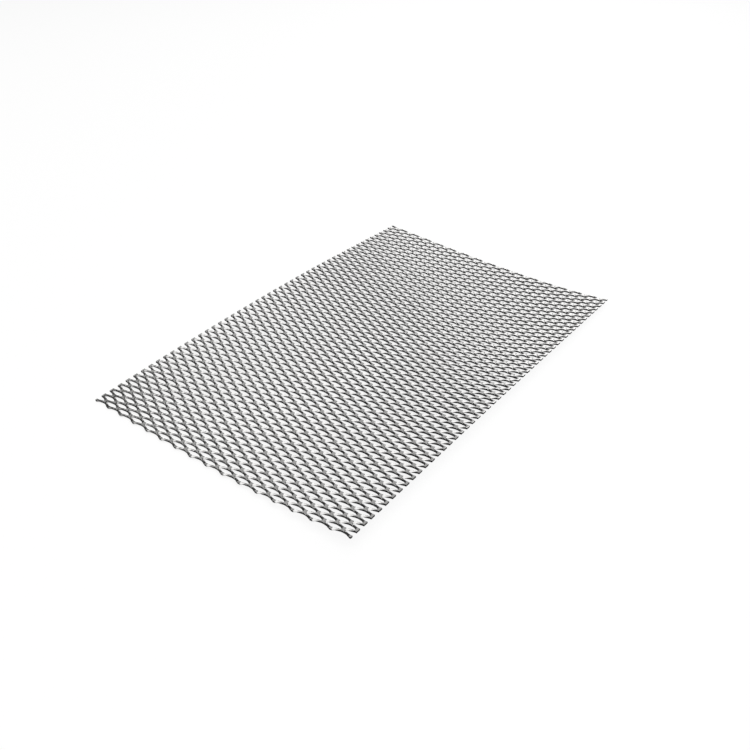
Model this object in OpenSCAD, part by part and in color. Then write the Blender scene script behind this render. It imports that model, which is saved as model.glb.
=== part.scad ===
// Expanded metal sheet: staggered slits stretched open into diamonds, so that every
// strand runs from bond to bond, with a slight bow across the sheet.

/* [Sheet] */
// Diamonds across the sheet, side by side along their long way
across_count = 16; // [6:1:24]
// Diamonds along the sheet, one after the other along their short way
along_count = 50; // [10:1:60]
// Thickness of the metal
metal_t = 1; // [0.5:0.1:1.5]
// Angle that each long edge is turned up by as the sheet bows, in degrees
edge_angle = 8; // [0:0.5:9]

/* [Diamond] */
// Long way of a diamond, from bond centre to bond centre
long_way = 12.5; // [10:0.5:16]
// Short way of a diamond, from bond centre to bond centre
short_way = 6; // [5:0.25:8]
// Width of one strand where it joins a bond, which is half the width of the bond
strand_w = 1.6; // [1.3:0.05:2]
// Width of one strand halfway, where it is turned partly on edge
waist_w = 1; // [0.7:0.05:1.2]
// Length of the flat where two strands stay joined
bond_len = 1.4; // [1:0.1:3]
// How far each sheared long edge lies beyond the centre of its last bonds
edge_stub = 0.6; // [0.2:0.1:1]

/* [Hidden] */
PANEL_COUNT = 5;

// How far a cutting shape runs past what it trims
overrun = 5;

rows = 2 * along_count;
stations = 2 * across_count;
station_pitch = long_way / 2;
row_pitch = short_way / 2;
sheet_len = rows * row_pitch;

// An opening reaches half its height at the bonds above and below it, and its tips at the
// bonds left and right. Its sides stay level up to the knee and then slope to the tip, and
// the knee is where that leaves the waist between two neighbouring openings.
opening_half = row_pitch - strand_w;
tip = station_pitch - bond_len / 2;
waist_cut = strand_w - waist_w;
knee = (opening_half * bond_len / 2 + waist_cut * tip) / (opening_half + waist_cut);

// Stations where one panel ends and the next begins
function border(i) = round(i * stations / PANEL_COUNT);
function panel_len(i) = (border(i + 1) - border(i)) * station_pitch;
function panel_angle(i) = edge_angle * ((border(i) + border(i + 1)) / stations - 1);

// Middle of each panel as [x, z], reached step by step from the level middle panel
function half_chord(i) = panel_len(i) / 2 * [cos(panel_angle(i)), sin(panel_angle(i))];
function panel_start(i) = i == 0 ? [0, 0] : panel_start(i - 1) + 2 * half_chord(i - 1);
function panel_middle(i) = panel_start(i) + half_chord(i);
level_panel = floor(PANEL_COUNT / 2);

module opening() {
    polygon([
        [-tip, 0],
        [-knee, -opening_half],
        [knee, -opening_half],
        [tip, 0],
        [knee, opening_half],
        [-knee, opening_half]
    ]);
}

// Flat mesh of one panel: a strip with an opening at every second crossing of the pattern
module mesh_outline(from, to) {
    difference() {
        translate([-overrun, 0])
            square([(to - from) * station_pitch + 2 * overrun, sheet_len]);
        for (station = [from - 1:to + 1], row = [0:rows])
            if ((station + row) % 2 != 0)
                translate([(station - from) * station_pitch, row * row_pitch])
                    opening();
    }
}

// Block that trims a panel at its two ends, square at a sheared edge and mitred inside the sheet
module trim(i) {
    reach = metal_t / 2 + overrun;
    low = i == 0 ? -edge_stub : 0;
    high = panel_len(i) + (i == PANEL_COUNT - 1 ? edge_stub : 0);
    low_mitre = i == 0 ? 0 : (panel_angle(i) - panel_angle(i - 1)) / 2;
    high_mitre = i == PANEL_COUNT - 1 ? 0 : (panel_angle(i + 1) - panel_angle(i)) / 2;
    rotate([90, 0, 0])
        linear_extrude(sheet_len + 2 * overrun, center = true)
            polygon([
                [low - reach * tan(low_mitre), -reach],
                [high + reach * tan(high_mitre), -reach],
                [high - reach * tan(high_mitre), reach],
                [low + reach * tan(low_mitre), reach]
            ]);
}

module panel(i) {
    place = panel_middle(i) - panel_middle(level_panel);
    translate([place[0], 0, place[1] + metal_t / 2])
        rotate([0, -panel_angle(i), 0])
            translate([-panel_len(i) / 2, 0, 0])
                intersection() {
                    translate([0, -sheet_len / 2, 0])
                        linear_extrude(metal_t, center = true)
                            mesh_outline(border(i), border(i + 1));
                    trim(i);
                }
}

for (i = [0:PANEL_COUNT - 1])
    color("silver") panel(i);
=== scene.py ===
import math

import bmesh
import bpy
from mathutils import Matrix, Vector


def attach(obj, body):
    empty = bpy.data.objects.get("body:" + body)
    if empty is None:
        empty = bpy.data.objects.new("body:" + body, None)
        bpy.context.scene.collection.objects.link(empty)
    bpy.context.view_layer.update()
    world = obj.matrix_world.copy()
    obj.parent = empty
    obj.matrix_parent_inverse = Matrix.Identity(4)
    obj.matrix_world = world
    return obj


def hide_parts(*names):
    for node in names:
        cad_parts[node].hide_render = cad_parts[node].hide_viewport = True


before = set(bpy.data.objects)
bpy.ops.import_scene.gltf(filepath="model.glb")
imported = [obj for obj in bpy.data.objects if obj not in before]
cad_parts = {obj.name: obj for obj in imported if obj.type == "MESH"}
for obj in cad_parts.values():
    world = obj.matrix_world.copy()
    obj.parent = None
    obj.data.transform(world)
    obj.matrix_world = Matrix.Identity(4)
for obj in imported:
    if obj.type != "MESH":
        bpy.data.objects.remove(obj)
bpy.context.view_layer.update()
print("frame loaded")

mm = 0.001


# A socket of a node tree with the usual arithmetic on it: an expression adds its Math nodes.
class Value:
    def __init__(self, tree, socket):
        self.tree = tree
        self.socket = socket

    def maths(self, operation, *others):
        node = self.tree.nodes.new("ShaderNodeMath")
        node.operation = operation
        for target, value in zip(node.inputs, (self,) + others):
            plug(self.tree, value, target)
        return Value(self.tree, node.outputs[0])

    def __add__(self, other):
        return self.maths("ADD", other)

    def __sub__(self, other):
        return self.maths("SUBTRACT", other)

    def __rsub__(self, other):
        return (self * -1.0) + other

    def __mul__(self, other):
        return self.maths("MULTIPLY", other)

    def __truediv__(self, other):
        return self.maths("DIVIDE", other)

    def __pow__(self, other):
        return self.maths("POWER", other)

    def __mod__(self, other):
        return self.maths("FLOORED_MODULO", other)

    def __gt__(self, other):
        return self.maths("GREATER_THAN", other)

    def __lt__(self, other):
        return self.maths("LESS_THAN", other)

    __radd__ = __add__
    __rmul__ = __mul__

    def rounded(self):
        return self.maths("ROUND")

    def clamped(self):
        bounded = self.maths("ADD", 0.0)
        bounded.socket.node.use_clamp = True
        return bounded


def plug(tree, value, target):
    if isinstance(value, Value):
        tree.links.new(value.socket, target)
    elif isinstance(value, bpy.types.NodeSocket):
        tree.links.new(value, target)
    else:
        target.default_value = value


# Any other node: its type, its settings first, then the values or links of its sockets.
def addNode(tree, kind, settings=None, sockets=None):
    node = tree.nodes.new(kind)
    for name, value in (settings or {}).items():
        setattr(node, name, value)
    for name, value in (sockets or {}).items():
        plug(tree, value, node.inputs[name])
    return node


def newMaterial(name):
    material = bpy.data.materials.new(name)
    material.use_nodes = True
    return material, material.node_tree, material.node_tree.nodes["Principled BSDF"]


camera = {
    "lens": 38.46,
    "sensor": 36.0,
    "nearest": 10 * mm,
    "place": (275.0 * mm, -351.9 * mm, 295.0 * mm),
    "target": (19.2 * mm, -24.1 * mm, 0.0),
}


def addCamera():
    data = bpy.data.cameras.new("photoCamera")
    data.lens = camera["lens"]
    data.sensor_width = camera["sensor"]
    data.clip_start = camera["nearest"]
    holder = bpy.data.objects.new("photoCamera", data)
    bpy.context.collection.objects.link(holder)
    place = Vector(camera["place"])
    holder.location = place
    view = Vector(camera["target"]) - place
    holder.rotation_euler = view.to_track_quat("-Z", "Y").to_euler()
    bpy.context.scene.camera = holder


addCamera()
print("camera placed")


sheet = {
    "across": 16,                  # diamonds across, along X
    "along": 50,                   # diamonds along, along Y
    "longWay": 12.5 * mm,
    "shortWay": 6.0 * mm,
    "strandWidth": 1.45 * mm,
    "bondLength": 1.5 * mm,
    "stub": 0.45 * mm,             # beyond the last bonds' centres at the sheared edges
    "thickness": 1.15 * mm,
    "nearPower": 1.8,              # how slowly a strand's lower edge leaves the bond
    "farPower": 2.05,              # how slowly its upper edge joins the next bond
    # How far the strand's two edges are turned up and down, by the share of its way.
    "turns": {0: 0, 0.14: 0.4 * mm, 0.45: 0.42 * mm, 0.72: 0.14 * mm, 1: 0},
    "chamfer": 0.1 * mm,           # worn upper edges
    "weldDistance": 0.02 * mm,
    "creaseAngle": math.radians(32),    # edges folded more than this stay sharp
}


# How the sheet lies, and how unevenly the press stretched it, at its edges and corners.
lie = {
    "bow": 5.7 * mm,               # long edges over the middle line
    "bowLean": 1.6 * mm,           # the bow's low line runs beside the middle
    "bowEase": -3.1 * mm,          # less bow towards the short edges
    "twist": -1.7 * mm,            # two opposite corners up, the other two down
    "leftArch": 1.4 * mm,          # left edge high in the middle, right edge the other way
    "endLift": 0.5 * mm,
    "rowBow": 1.4 * mm,            # rows curve towards +Y at the long edges
    "rowFan": -2.0 * mm,           # rows spread at the left edge
    "columnSqueeze": -1.8 * mm,    # narrower diamonds at the long edges
    "columnLean": -1.3 * mm,
    "unevenness": 0.25 * mm,       # how far the press left points from their even places
    "unevenScale": 110.0,          # patches of unevenness in a metre
}


# Ring of six points round a strand that leaves a bond's upper half towards +X and +Y.
# share runs from 0 at this bond to 1 at the next.
def strandRing(share):
    halfBond = sheet["bondLength"] / 2
    span = sheet["longWay"] / 2 - sheet["bondLength"]
    rise = sheet["shortWay"] / 2 - sheet["strandWidth"]
    turn = sheet["turns"][share]
    nearShare = share ** sheet["nearPower"]
    farShare = 1 - (1 - share) ** sheet["farPower"]
    lower = Vector((halfBond + span * nearShare, rise * share, -turn))
    upper = Vector((halfBond + span * farShare, rise * share + sheet["strandWidth"], turn))
    across = upper - lower
    normal = Vector((span, rise, 0)).cross(across).normalized()
    half = normal * sheet["thickness"] / 2
    inward = across.normalized()
    lowerWear = 0 if share == 0 else sheet["chamfer"]
    upperWear = 0 if share == 1 else sheet["chamfer"]
    return [
        lower - half,
        lower + half - normal * lowerWear,
        lower + half + inward * lowerWear,
        upper + half - inward * upperWear,
        upper + half - normal * upperWear,
        upper - half,
    ]


# Half a bond's outline at one end, from the middle line of the bond outwards.
def bondEnd(x, side):
    top = sheet["thickness"] / 2
    edge = side * sheet["strandWidth"]
    wear = sheet["chamfer"]
    return [
        Vector((x, 0, -top)),
        Vector((x, 0, top)),
        Vector((x, edge - side * wear, top)),
        Vector((x, edge, top - wear)),
        Vector((x, edge, -top)),
    ]


def addTube(mesh, ringA, ringB, closed):
    count = len(ringA)
    for i in range(count if closed else count - 1):
        j = (i + 1) % count
        mesh.faces.new([ringA[i], ringA[j], ringB[j], ringB[i]])


# One bond with the two strands that leave it upwards, less what lies beyond the sheet's edges.
def makeUnit(name, columnClass, rowClass):
    mesh = bmesh.new()

    def points(places, mirror=1):
        return [mesh.verts.new((mirror * p.x, p.y, p.z)) for p in places]

    left = -(sheet["stub"] if columnClass == 0 else sheet["bondLength"] / 2)
    right = sheet["stub"] if columnClass == 2 else sheet["bondLength"] / 2
    halves = [side for side, gone in ((-1, rowClass == 0), (1, rowClass == 2)) if not gone]
    for side in halves:
        ends = [points(bondEnd(x, side)) for x in (left, right)]
        for i in range(1, 4):
            mesh.faces.new([ends[0][i], ends[0][i + 1], ends[1][i + 1], ends[1][i]])
        mesh.faces.new([ends[0][4], ends[0][0], ends[1][0], ends[1][4]])
        if len(halves) == 1:
            mesh.faces.new([ends[0][0], ends[0][1], ends[1][1], ends[1][0]])
        if columnClass == 0:
            mesh.faces.new(ends[0])
        if columnClass == 2:
            mesh.faces.new(ends[1])
    if rowClass != 2:
        rings = [strandRing(share) for share in sheet["turns"]]
        for mirror, missing in ((1, columnClass == 2), (-1, columnClass == 0)):
            if not missing:
                tube = [points(ring, mirror) for ring in rings]
                for ringA, ringB in zip(tube, tube[1:]):
                    addTube(mesh, ringA, ringB, True)
    bmesh.ops.remove_doubles(mesh, verts=mesh.verts[:], dist=sheet["weldDistance"] / 10)
    bmesh.ops.recalc_face_normals(mesh, faces=mesh.faces[:])
    data = bpy.data.meshes.new(name)
    mesh.to_mesh(data)
    mesh.free()
    return bpy.data.objects.new(name, data)


def makeUnits():
    units = bpy.data.collections.new("units")
    for rowClass in range(3):
        for columnClass in range(3):
            unit = makeUnit(f"unit{rowClass}{columnClass}", columnClass, rowClass)
            units.objects.link(unit)
    return units


# Offset of a point of the flat sheet, from its place across and along it, each from -1 to 1.
def lieOfSheet(s, t, given):
    x = s * s * s * given["columnSqueeze"] + s * s * t * given["columnLean"]
    y = s * s * given["rowBow"] + s * t * given["rowFan"]
    bow = s * s * given["bow"] + (s * s * s - s) * given["bowLean"]
    bow = bow + s * s * t * t * given["bowEase"]
    ends = s * t * given["twist"] + s * t * t * given["leftArch"] + t ** 4 * given["endLift"]
    return x, y, bow + ends


# The sheet's tree has one input for each of its sizes and one for each value of its lie.
def sheetTree():
    tree = bpy.data.node_groups.new("expandedSheet", "GeometryNodeTree")
    inputs = {
        "Units": "NodeSocketCollection",
        "Across": "NodeSocketInt",
        "Along": "NodeSocketInt",
        "Long Way": "NodeSocketFloat",
        "Short Way": "NodeSocketFloat",
        "Weld Distance": "NodeSocketFloat",
        "Crease Angle": "NodeSocketFloat",
        "Metal": "NodeSocketMaterial",
    }
    inputs.update({name: "NodeSocketFloat" for name in lie})
    for name, kind in inputs.items():
        tree.interface.new_socket(name, in_out="INPUT", socket_type=kind)
    tree.interface.new_socket("Sheet", in_out="OUTPUT", socket_type="NodeSocketGeometry")
    given = tree.nodes.new("NodeGroupInput").outputs
    across = Value(tree, given["Across"])
    along = Value(tree, given["Along"])
    longWay = Value(tree, given["Long Way"])
    shortWay = Value(tree, given["Short Way"])

    lattice = addNode(tree, "GeometryNodeMeshGrid", sockets={
        "Size X": across * longWay,
        "Size Y": along * shortWay,
        "Vertices X": across * 2 + 1,
        "Vertices Y": along * 2 + 1,
    })
    place = addNode(tree, "ShaderNodeSeparateXYZ", sockets={
        "Vector": addNode(tree, "GeometryNodeInputPosition").outputs["Position"]})
    station = (Value(tree, place.outputs["X"]) / longWay * 2 + across).rounded()
    row = (Value(tree, place.outputs["Y"]) / shortWay * 2 + along).rounded()
    onBond = ((station + row) % 2) < 0.5
    columnClass = (station > 0.5) + (station > across * 2 - 0.5)
    rowClass = (row > 0.5) + (row > along * 2 - 0.5)
    family = addNode(tree, "GeometryNodeCollectionInfo", sockets={
        "Collection": given["Units"], "Separate Children": True, "Reset Children": True})
    placed = addNode(tree, "GeometryNodeInstanceOnPoints", sockets={
        "Points": lattice.outputs["Mesh"],
        "Selection": onBond,
        "Instance": family.outputs[0],
        "Pick Instance": True,
        "Instance Index": rowClass * 3 + columnClass,
    })
    loose = addNode(tree, "GeometryNodeRealizeInstances", sockets={
        "Geometry": placed.outputs["Instances"]})
    welded = addNode(tree, "GeometryNodeMergeByDistance", sockets={
        "Geometry": loose.outputs["Geometry"], "Distance": given["Weld Distance"]})

    flat = addNode(tree, "ShaderNodeSeparateXYZ", sockets={
        "Vector": addNode(tree, "GeometryNodeInputPosition").outputs["Position"]})
    s = Value(tree, flat.outputs["X"]) / (across * longWay) * 2
    t = Value(tree, flat.outputs["Y"]) / (along * shortWay) * 2
    lift = addNode(tree, "ShaderNodeCombineXYZ", sockets=dict(zip("XYZ", lieOfSheet(s, t, given))))
    patches = addNode(tree, "ShaderNodeTexNoise", sockets={
        "Vector": addNode(tree, "GeometryNodeInputPosition").outputs["Position"],
        "Scale": given["unevenScale"], "Detail": 1.0})
    centred = addNode(tree, "ShaderNodeVectorMath", {"operation": "SUBTRACT"}, {
        0: patches.outputs["Color"], 1: (0.5, 0.5, 0.5)})
    uneven = addNode(tree, "ShaderNodeVectorMath", {"operation": "SCALE"}, {
        0: centred.outputs["Vector"], "Scale": given["unevenness"]})
    shift = addNode(tree, "ShaderNodeVectorMath", {"operation": "ADD"}, {
        0: uneven.outputs["Vector"], 1: lift.outputs["Vector"]})
    bowed = addNode(tree, "GeometryNodeSetPosition", sockets={
        "Geometry": welded.outputs["Geometry"], "Offset": shift.outputs["Vector"]})

    height = addNode(tree, "ShaderNodeSeparateXYZ", sockets={
        "Vector": addNode(tree, "GeometryNodeInputPosition").outputs["Position"]})
    span = addNode(tree, "GeometryNodeAttributeStatistic", sockets={
        "Geometry": bowed.outputs["Geometry"], 2: height.outputs["Z"]})
    settle = addNode(tree, "ShaderNodeCombineXYZ", sockets={
        "Z": Value(tree, span.outputs["Min"]) * -1.0})
    resting = addNode(tree, "GeometryNodeSetPosition", sockets={
        "Geometry": bowed.outputs["Geometry"], "Offset": settle.outputs["Vector"]})

    smooth = addNode(tree, "GeometryNodeSetShadeSmooth", {"domain": "FACE"}, {
        "Geometry": resting.outputs["Geometry"], "Shade Smooth": True})
    fold = addNode(tree, "GeometryNodeInputMeshEdgeAngle")
    creased = addNode(tree, "GeometryNodeSetShadeSmooth", {"domain": "EDGE"}, {
        "Geometry": smooth.outputs["Geometry"],
        "Selection": Value(tree, fold.outputs["Unsigned Angle"]) > given["Crease Angle"],
        "Shade Smooth": False,
    })
    realized = addNode(tree, "GeometryNodeRealizeInstances", sockets={
        "Geometry": creased.outputs["Geometry"]})
    finished = addNode(tree, "GeometryNodeSetMaterial", sockets={
        "Geometry": realized.outputs["Geometry"], "Material": given["Metal"]})
    result = tree.nodes.new("NodeGroupOutput")
    tree.links.new(finished.outputs["Geometry"], result.inputs["Sheet"])
    return tree


def runTree(name, tree, values):
    start = bpy.data.objects.new(name, bpy.data.meshes.new(name))
    bpy.context.collection.objects.link(start)
    modifier = start.modifiers.new("build", "NODES")
    modifier.node_group = tree
    for item in tree.interface.items_tree:
        if item.in_out == "INPUT":
            modifier[item.identifier] = values[item.name]
    bpy.context.view_layer.update()
    seen = start.evaluated_get(bpy.context.evaluated_depsgraph_get())
    built = bpy.data.meshes.new_from_object(seen)
    start.modifiers.remove(modifier)
    start.data = built
    return start


# Mill-finish aluminium: soft patches and a fine grain all over, rubbed brighter on the upper
# edges, and painted darker on the sheared sides as shade, with streaks drawn through the
# thickness.
finish = {
    "colour": (0.57, 0.565, 0.56, 1),
    "dullColour": (0.46, 0.457, 0.45, 1),
    "rubbedColour": (0.63, 0.625, 0.62, 1),
    # painted shade: the sheared sides get this darker colour in place of the shade that falls on
    # them
    "shadedSidesColour": (0.33, 0.328, 0.325, 1),
    "metallic": 1.0,
    "roughness": 0.2,
    "patchScale": 180.0,
    "patchDetail": 4.0,
    "patchRoughness": 0.2,         # how far the patches swing the roughness
    "grainScale": 2400.0,
    "grainDetail": 2.0,
    "grainDepth": 0.02 * mm,
    "grainStrength": 0.3,
    "streakScale": 3200.0,
    "streakStretch": (1.0, 1.0, 0.06),
    "streakRoughness": 0.2,
    "streakDepth": 2.0,            # in depths of the grain
    "rubbing": 5.0,                # how quickly the rubbing comes on at an outer edge
    "rubbedRoughness": -0.06,
}


def makeMetal():
    material, tree, surface = newMaterial("bareMetal")
    place = addNode(tree, "ShaderNodeTexCoord").outputs["Object"]
    form = addNode(tree, "ShaderNodeNewGeometry")
    facing = addNode(tree, "ShaderNodeSeparateXYZ", sockets={
        "Vector": form.outputs["True Normal"]})
    sheared = 1.0 - Value(tree, facing.outputs["Z"]).maths("ABSOLUTE")
    outerEdge = ((Value(tree, form.outputs["Pointiness"]) - 0.5) * finish["rubbing"]).clamped()
    rubbed = outerEdge * (1.0 - sheared)

    cloud = addNode(tree, "ShaderNodeTexNoise", sockets={
        "Vector": place, "Scale": finish["patchScale"], "Detail": finish["patchDetail"],
        "Roughness": 0.6})
    grain = addNode(tree, "ShaderNodeTexNoise", sockets={
        "Vector": place, "Scale": finish["grainScale"], "Detail": finish["grainDetail"]})
    drawn = addNode(tree, "ShaderNodeVectorMath", {"operation": "MULTIPLY"}, {
        0: place, 1: finish["streakStretch"]})
    streaks = addNode(tree, "ShaderNodeTexNoise", sockets={
        "Vector": drawn.outputs["Vector"], "Scale": finish["streakScale"],
        "Detail": finish["grainDetail"]})
    mottle = Value(tree, cloud.outputs["Fac"])
    streak = (Value(tree, streaks.outputs["Fac"]) - 0.5) * sheared

    base = addNode(tree, "ShaderNodeMix", {"data_type": "RGBA"}, {
        0: mottle.clamped(), 6: finish["dullColour"], 7: finish["colour"]})
    # painted shade: faces turned sideways, away from up and down, take the darker colour, standing
    # in for shade
    sides = addNode(tree, "ShaderNodeMix", {"data_type": "RGBA"}, {
        0: sheared.clamped(), 6: base.outputs[2], 7: finish["shadedSidesColour"]})
    colour = addNode(tree, "ShaderNodeMix", {"data_type": "RGBA"}, {
        0: rubbed, 6: sides.outputs[2], 7: finish["rubbedColour"]})
    roughness = ((mottle - 0.5) * finish["patchRoughness"] + streak * finish["streakRoughness"]
                 + rubbed * finish["rubbedRoughness"] + finish["roughness"])
    plug(tree, colour.outputs[2], surface.inputs["Base Color"])
    plug(tree, roughness, surface.inputs["Roughness"])
    plug(tree, finish["metallic"], surface.inputs["Metallic"])
    bump = addNode(tree, "ShaderNodeBump", sockets={
        "Strength": finish["grainStrength"],
        "Distance": finish["grainDepth"],
        "Height": Value(tree, grain.outputs["Fac"]) + streak * finish["streakDepth"],
    })
    plug(tree, bump.outputs["Normal"], surface.inputs["Normal"])
    return material


def makeSheet():
    metal = makeMetal()
    units = makeUnits()
    made = runTree("expandedSheet", sheetTree(), {
        "Units": units,
        "Across": sheet["across"],
        "Along": sheet["along"],
        "Long Way": sheet["longWay"],
        "Short Way": sheet["shortWay"],
        "Weld Distance": sheet["weldDistance"],
        "Crease Angle": sheet["creaseAngle"],
        "Metal": metal,
        **lie,
    })
    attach(made, "root")
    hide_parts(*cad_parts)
    return made


sheetPiece = makeSheet()
print("sheet made:", len(sheetPiece.data.polygons), "faces")


studio = {
    "floorHalf": 6.0,
    "floorRoughness": 0.9,
    "floorColour": (1, 1, 1, 1),
    # painted shade: every ray but the camera's finds the floor this dark, in place of the shade
    # beneath the sheet
    "paintedShadeFloorColour": (0.05, 0.05, 0.05, 1),    # what the metal finds beneath it
    "floorWhite": 0.85,            # share of plain white that the camera sees on the floor
    "mirrorWhite": 0.02,           # and that the metal mirrors
    "worldStrength": 0.055,        # of the dark surroundings that the metal mirrors
    "lamps": {
        "topSoftbox": {"side": 59, "rise": 79, "distance": 1.5, "size": 2.7, "level": 2.0},
        "backSoftbox": {"side": 200, "rise": 28, "distance": 1.5, "size": 0.9, "level": 2.0},
        "fillSoftbox": {"side": 238, "rise": 35, "distance": 1.5, "size": 1.1, "level": 0.6},
    },
}


def makeFloor():
    data = bpy.data.meshes.new("floor")
    half = studio["floorHalf"]
    corners = [(-half, -half, 0), (half, -half, 0), (half, half, 0), (-half, half, 0)]
    data.from_pydata(corners, [], [(0, 1, 2, 3)])
    holder = bpy.data.objects.new("floor", data)
    bpy.context.collection.objects.link(holder)
    material, tree, surface = newMaterial("paleFloor")
    plug(tree, studio["floorRoughness"], surface.inputs["Roughness"])
    plug(tree, 0.0, surface.inputs["Specular IOR Level"])
    path = addNode(tree, "ShaderNodeLightPath")
    seen = Value(tree, path.outputs["Is Camera Ray"]) + path.outputs["Is Transmission Ray"]
    # painted shade: the floor is dark to the metal's reflections and to bounced light, standing in
    # for the shade beneath the sheet; the camera sees it white
    colour = addNode(tree, "ShaderNodeMix", {"data_type": "RGBA"}, {
        0: seen.clamped(), 6: studio["paintedShadeFloorColour"], 7: studio["floorColour"]})
    plug(tree, colour.outputs[2], surface.inputs["Base Color"])
    mirrored = Value(tree, path.outputs["Is Glossy Ray"]) * studio["mirrorWhite"]
    white = addNode(tree, "ShaderNodeEmission", sockets={"Color": (1, 1, 1, 1), "Strength": 1.0})
    mix = addNode(tree, "ShaderNodeMixShader", sockets={
        0: (seen * studio["floorWhite"] + mirrored).clamped(),
        1: surface.outputs["BSDF"],
        2: white.outputs["Emission"],
    })
    tree.links.new(mix.outputs["Shader"], tree.nodes["Material Output"].inputs["Surface"])
    data.materials.append(material)


def makeWorld():
    world = bpy.data.worlds.new("studio")
    world.use_nodes = True
    bpy.context.scene.world = world
    tree = world.node_tree
    background = tree.nodes["Background"]
    path = addNode(tree, "ShaderNodeLightPath")
    seen = Value(tree, path.outputs["Is Camera Ray"]) + path.outputs["Is Transmission Ray"]
    plug(tree, (1, 1, 1, 1), background.inputs["Color"])
    plug(tree, (seen + studio["worldStrength"]).clamped(), background.inputs["Strength"])


# Each lamp's side is its angle round the object from the front, and its level is how bright
# its face is, where 1 is white.
def addLamps():
    for name, lamp in studio["lamps"].items():
        data = bpy.data.lights.new(name, "AREA")
        data.shape = "DISK"
        data.size = lamp["size"]
        data.energy = lamp["level"] * (math.pi * lamp["size"] / 2) ** 2
        holder = bpy.data.objects.new(name, data)
        bpy.context.collection.objects.link(holder)
        side, rise = math.radians(lamp["side"]), math.radians(lamp["rise"])
        towards = Vector((
            math.sin(side) * math.cos(rise), -math.cos(side) * math.cos(rise), math.sin(rise)))
        holder.location = towards * lamp["distance"]
        holder.rotation_euler = (-towards).to_track_quat("-Z", "Y").to_euler()


makeFloor()
makeWorld()
addLamps()
scene = bpy.context.scene
scene.view_settings.view_transform = "Standard"
print("studio lit")
